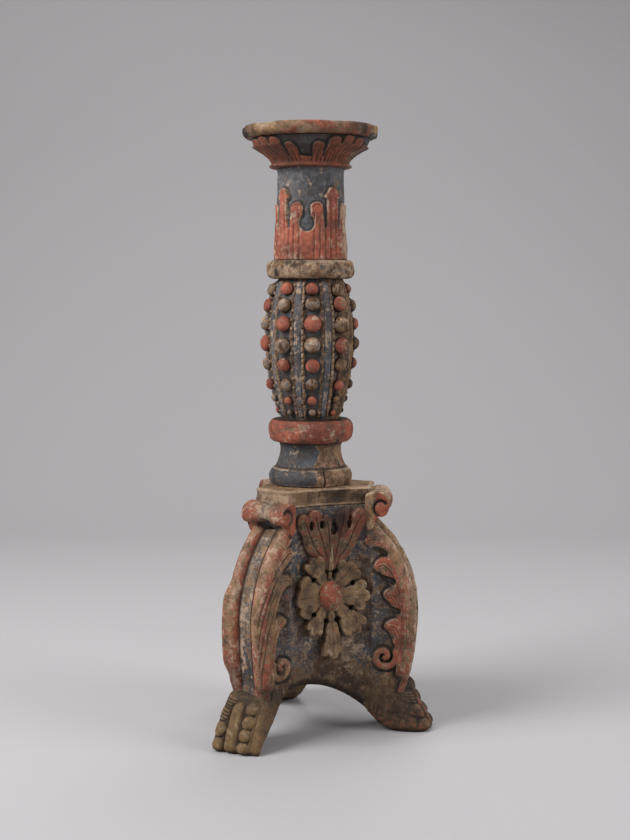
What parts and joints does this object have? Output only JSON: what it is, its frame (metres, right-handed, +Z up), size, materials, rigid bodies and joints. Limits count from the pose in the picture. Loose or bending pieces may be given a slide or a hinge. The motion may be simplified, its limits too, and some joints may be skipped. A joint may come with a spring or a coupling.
{
  "type": "pricket candlestick",
  "caption": "Carved and painted wooden altar candlestick: drip pan on a leafy neck, beaded bulb and a three-sided scroll base with rosettes on paw feet.",
  "frame": {"origin": "on the floor plane, on the stem axis", "axes": "+Z up the stem, -Y out of the front rosette face, +X to that face's right"},
  "size_m": [0.3588, 0.3142, 0.909],
  "materials": {
    "bare_wood": "old softwood with the paint worn off, dry and grey-brown",
    "red_and_blue_paint": "worn brick-red leaves on a blue-grey ground, white priming at the edges",
    "blue_paint": "worn blue-grey distemper on priming",
    "red_paint": "worn brick-red distemper on priming",
    "ochre_wood": "worn ochre glaze on bare wood",
    "hidden_wood": "plain sawn wood",
    "wrought_iron": "dark forged iron"
  },
  "bodies": {
    "root": {"drip_pan": "bare_wood", "pan_calyx": "red_and_blue_paint", "neck_shaft": "red_and_blue_paint", "upper_ring": "bare_wood", "baluster_bulb": "blue_paint", "lower_ring": "red_paint", "stem_foot": "blue_paint", "plinth_slab": "bare_wood", "base_core": "hidden_wood", "pricket": "wrought_iron", "pan_nails": "wrought_iron", "console_front_left": "red_and_blue_paint", "paw_foot_front_left": "ochre_wood", "console_front_right": "red_and_blue_paint", "paw_foot_front_right": "ochre_wood", "console_back": "red_and_blue_paint", "paw_foot_back": "ochre_wood", "face_panel_front": "blue_paint", "rosette_front": "ochre_wood", "rosette_boss_front": "red_paint", "upright_leaf_front": "red_paint", "face_panel_right": "blue_paint", "rosette_right": "ochre_wood", "rosette_boss_right": "red_paint", "upright_leaf_right": "red_paint", "face_panel_left": "blue_paint", "rosette_left": "ochre_wood", "rosette_boss_left": "red_paint", "upright_leaf_left": "red_paint", "console_dowels": "hidden_wood", "foot_dowels": "hidden_wood", "slab_pegs": "hidden_wood"}
  },
  "joints": []
}
